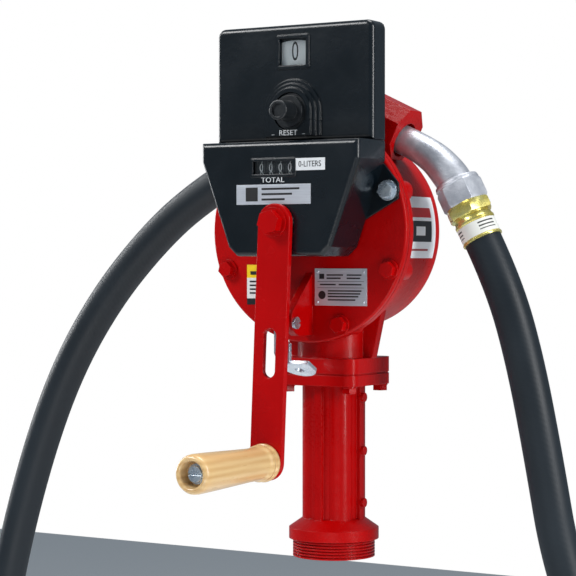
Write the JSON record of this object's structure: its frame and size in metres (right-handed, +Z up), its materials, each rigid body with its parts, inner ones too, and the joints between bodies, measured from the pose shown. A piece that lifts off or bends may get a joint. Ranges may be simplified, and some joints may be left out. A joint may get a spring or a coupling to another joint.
{
  "type": "rotary hand transfer pump",
  "caption": "Hand-cranked rotary vane transfer pump with a threaded bung column, litre counter, wooden grip, and a hose looped back to a parked spout.",
  "frame": {"origin": "centre of the lower end of the bung thread, where the pump is held", "axes": "+Z up along the column, -Y is the face with the crank and the counter, +X is the side of the parked spout"},
  "size_m": [0.63, 0.213, 1.0837],
  "materials": {
    "red_cast": "gloss enamel over cast iron",
    "red_arm": "gloss enamel over flat bar",
    "red_bolts": "gloss enamel over steel bolts",
    "black_case": "gloss black enamel",
    "black_knob": "moulded black plastic",
    "zinc": "bright zinc plate",
    "steel": "turned steel",
    "grey_iron": "machined cast iron",
    "vane": "bronze-filled composite",
    "bronze": "turned bronze",
    "brass": "yellow chromate over zinc",
    "cast_aluminium": "tumbled casting",
    "gasket": "cut sheet gasket",
    "hose": "wrapped-finish rubber hose",
    "wood": "varnished maple",
    "lens": "clear window",
    "dial": "white dial with black numbers",
    "number_wheel": "black wheels with white numbers",
    "plate": "blank data plate",
    "label": "printed label with plain colour blocks"
  },
  "bodies": {
    "pump_body": {"adapter_gasket": "gasket", "bracket_bolts": "zinc", "bung_adapter": "red_cast", "counter_bracket": "black_case", "cover_bolts": "red_bolts", "cover_gasket": "gasket", "cover_label": "label", "dial_window": "lens", "flange_bolts": "red_bolts", "front_bush": "bronze", "front_cover": "red_cast", "hasp_pin": "zinc", "hose": "hose", "lower_case": "black_case", "nameplate": "plate", "nozzle_ferrule": "brass", "outlet_ferrule": "zinc", "outlet_fitting": "zinc", "pump_housing": "red_cast", "rear_bush": "bronze", "seal_gland": "bronze", "shaft_seal": "gasket", "side_label": "label", "spout": "cast_aluminium", "swivel_nut": "brass", "total_frame": "steel", "total_window": "lens", "upper_case": "black_case"},
    "crank": {"crank_shaft": "steel", "rotor": "grey_iron", "rotor_key": "steel", "rotor_vanes": "vane", "drive_gear": "bronze", "crank_arm": "red_arm", "crank_bolt": "red_bolts", "grip_spindle": "zinc"},
    "grip": {"crank_grip": "wood"},
    "idler": {"idler_gear": "bronze"},
    "dial": {"dial_wheel": "dial"},
    "reset": {"reset_knob": "black_knob"},
    "hasp": {"hasp": "zinc"},
    "wheel_1": {"total_wheel_1": "number_wheel"},
    "wheel_2": {"total_wheel_2": "number_wheel"},
    "wheel_3": {"total_wheel_3": "number_wheel"},
    "wheel_4": {"total_wheel_4": "number_wheel"}
  },
  "joints": [
    {"name": "crank_turn", "type": "hinge", "parent": "pump_body", "child": "crank", "pos_m": [0, 0, 0.2435], "axis": [0, 1, 0], "continuous": true},
    {"name": "grip_spin", "type": "hinge", "parent": "crank", "child": "grip", "pos_m": [-0.007, 0, 0.075], "axis": [0, 1, 0], "continuous": true},
    {"name": "idler_turn", "type": "hinge", "parent": "pump_body", "child": "idler", "pos_m": [0.01477, 0, 0.28917], "axis": [0, 1, 0], "continuous": true},
    {"name": "dial_turn", "type": "hinge", "parent": "pump_body", "child": "dial", "pos_m": [0, 0, 0.322], "axis": [0, 1, 0], "continuous": true},
    {"name": "reset_turn", "type": "hinge", "parent": "pump_body", "child": "reset", "pos_m": [0, 0, 0.322], "axis": [0, 1, 0], "continuous": true},
    {"name": "hasp_swing", "type": "hinge", "parent": "pump_body", "child": "hasp", "pos_m": [0, -0.063, 0.1725], "axis": [-1, 0, 0], "range_deg": [-8, 25]},
    {"name": "wheel_1_turn", "type": "hinge", "parent": "pump_body", "child": "wheel_1", "pos_m": [-0.0036, -0.0665, 0.2817], "axis": [1, 0, 0], "continuous": true},
    {"name": "wheel_2_turn", "type": "hinge", "parent": "pump_body", "child": "wheel_2", "pos_m": [-0.0036, -0.0665, 0.2817], "axis": [1, 0, 0], "continuous": true},
    {"name": "wheel_3_turn", "type": "hinge", "parent": "pump_body", "child": "wheel_3", "pos_m": [-0.0036, -0.0665, 0.2817], "axis": [1, 0, 0], "continuous": true},
    {"name": "wheel_4_turn", "type": "hinge", "parent": "pump_body", "child": "wheel_4", "pos_m": [-0.0036, -0.0665, 0.2817], "axis": [1, 0, 0], "continuous": true}
  ],
  "couplings": [
    {"joint": "idler_turn", "follows": "crank_turn", "ratio": -0.6},
    {"joint": "dial_turn", "follows": "crank_turn", "ratio": 0.2},
    {"joint": "wheel_1_turn", "follows": "crank_turn", "ratio": 0.00003785},
    {"joint": "wheel_2_turn", "follows": "crank_turn", "ratio": 0.0003785},
    {"joint": "wheel_3_turn", "follows": "crank_turn", "ratio": 0.003785},
    {"joint": "wheel_4_turn", "follows": "crank_turn", "ratio": 0.03785}
  ]
}
